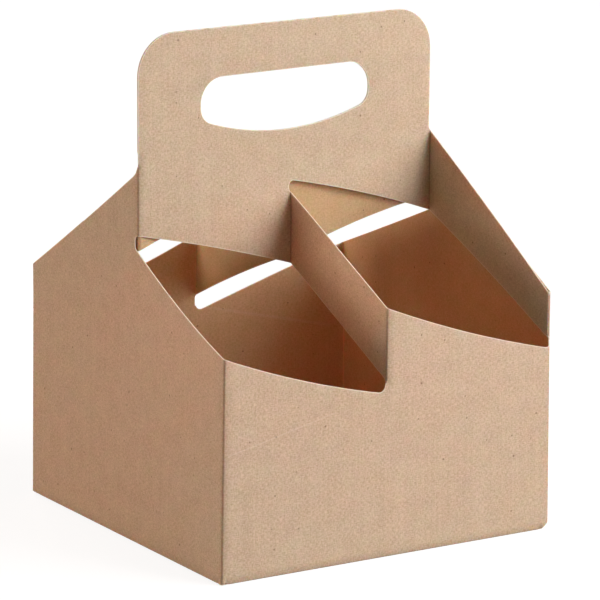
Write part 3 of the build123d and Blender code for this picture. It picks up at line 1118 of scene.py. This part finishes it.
# White backdrop paper: smooth and quite matt, so the eye gets an even white with a soft shadow.
paper = new_material("paper_backdrop_white")
tree = paper.node_tree
lit = add(tree, "ShaderNodeBsdfDiffuse", {"Color": colour("#C4C2BF")})
white = add(tree, "ShaderNodeEmission", {"Color": (1, 1, 1, 1), "Strength": 0.88})
shaded = add(tree, "ShaderNodeBsdfDiffuse", {"Color": colour("#8C8C8C")})
shown = add(tree, "ShaderNodeAddShader", {0: white.outputs[0], 1: shaded.outputs[0]})
seen = add(tree, "ShaderNodeMixShader", {0: seen_directly(tree), 1: lit.outputs[0], 2: shown.outputs[0]})
add(tree, "ShaderNodeOutputMaterial", {"Surface": seen.outputs[0]})
floor_mesh.materials.append(paper)
print("floor's material:", paper.name)

# %% [markdown]
# ## World
# Behind the floor's edge the picture shows the world. It is white to look at, and gives no light, so
# that only the lamps shape the board.

# %% World
world = bpy.data.worlds.new("studio")
world.use_nodes = True
tree = world.node_tree
tree.nodes.clear()
sky = add(tree, "ShaderNodeBackground", {"Color": (1, 1, 1, 1), "Strength": seen_directly(tree)})
add(tree, "ShaderNodeOutputWorld", {"Surface": sky.outputs[0]})
bpy.context.scene.world = world
print("world:", world.name)

# %% [markdown]
# ## Lamps
# The light is that of a small studio: soft boxes at the front right, a weak one above, a warm one low
# on the left, which keeps the left wall a shade darker, and one behind, whose light comes through the
# back wall. A sky picture could light the scene too, but lamps can be set one by one. Each stands at
# its angles round the carrier, as a photographer would place it.

# %% Lamps
def soft_box(name, azimuth, elevation, distance, wide, tall, power, tint):
    """A soft box that looks at the carrier, placed by angles from its front."""
    around, rise = np.radians([azimuth, elevation])
    away = Vector((np.sin(around) * np.cos(rise), -np.cos(around) * np.cos(rise), np.sin(rise)))
    lamp = bpy.data.lights.new(name, "AREA")
    lamp.shape = "RECTANGLE"
    lamp.size, lamp.size_y = wide, tall
    lamp.energy = power
    lamp.color = colour(tint)[:3]
    holder = bpy.data.objects.new(name, lamp)
    holder.location = Vector((0, 0, height * MM / 2)) + distance * away
    holder.rotation_euler = (-away).to_track_quat("-Z", "Y").to_euler()
    bpy.context.scene.collection.objects.link(holder)


lamps = {  # azimuth and elevation in degrees, distance, width and height in metres, watts, tint
    "key_right": (60, 20, 2.0, 1.0, 1.0, 21, "#FFFFFF"),
    "key_front": (35, 35, 2.0, 1.0, 1.0, 21, "#FFFFFF"),
    "front_low": (20, 12, 2.0, 0.8, 0.6, 7.5, "#FFFFFF"),
    "top": (0, 85, 2.0, 1.0, 1.0, 4.0, "#FFE7D3"),
    "fill_left": (-104, 6, 2.5, 1.0, 0.6, 26, "#FFE7D3"),
    "fill_back": (172, 18, 2.5, 1.2, 0.8, 22, "#FFE7D3"),
}
for name, setting in lamps.items():
    soft_box(name, *setting)
print(f"{len(lamps)} lamps, {sum(setting[5] for setting in lamps.values()):.1f} W in all")

# %% [markdown]
# ## Camera
# A long lens from the front left keeps the upright edges nearly parallel, as in a catalogue picture.
# The camera could be aimed by a constraint, but three turns about the aim and one offset say plainly
# where it stands.

# %% Camera
yaw, pitch, roll = np.radians([32.03, 13.28, 0.40])
sensor = 36.0
focal_share = 4029 / 600  # focal length over the picture's width
aim = Vector((0, 0, 0.1068))
offset = Vector((-0.0325, -0.018, 10.7418)) * width * MM  # from camera to aim: right, down and away
lens = bpy.data.cameras.new("camera")
lens.sensor_width = sensor
lens.lens = focal_share * sensor
lens.clip_end = 20.0
camera = bpy.data.objects.new("camera", lens)
look = Matrix.Rotation(-yaw, 4, "Z") @ Matrix.Rotation(np.pi / 2 - pitch, 4, "X")
look = look @ Matrix.Rotation(roll, 4, "Z")
stand_off = Matrix.Translation((-offset.x, offset.y, offset.z))
camera.matrix_world = Matrix.Translation(aim) @ look @ stand_off
bpy.context.scene.collection.objects.link(camera)
bpy.context.scene.camera = camera
bpy.context.scene.view_settings.view_transform = "Standard"
print("camera at", [round(c, 3) for c in camera.matrix_world.translation])
